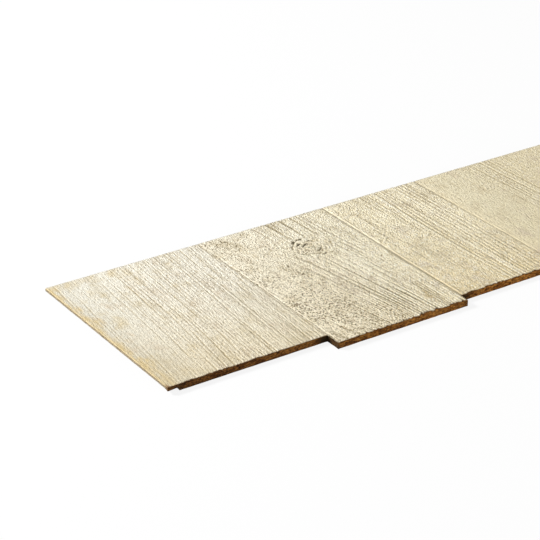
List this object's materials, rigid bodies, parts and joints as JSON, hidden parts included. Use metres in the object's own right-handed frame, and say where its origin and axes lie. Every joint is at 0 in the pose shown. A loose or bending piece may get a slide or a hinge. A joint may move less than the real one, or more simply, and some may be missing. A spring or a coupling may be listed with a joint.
{
  "type": "shake siding panel",
  "caption": "Flat engineered-wood siding panel embossed with cedar grain, with scored shake joints, a staggered butt edge and half-lapped ends, nailed in courses to an outside wall.",
  "frame": {"origin": "middle of the panel's box, on the plane of the back face that it lies on", "axes": "+X along the course of shakes from the lapping left end to the lapped right end, +Y from the butts to the head edge, +Z out of the face"},
  "size_m": [1.2334, 0.297, 0.009],
  "materials": {
    "primed_board": "cream primed face embossed with sawn cedar grain, bare brown wood fibre on the edges and back"
  },
  "bodies": {
    "root": {"shake_panel": "primed_board"}
  },
  "joints": []
}
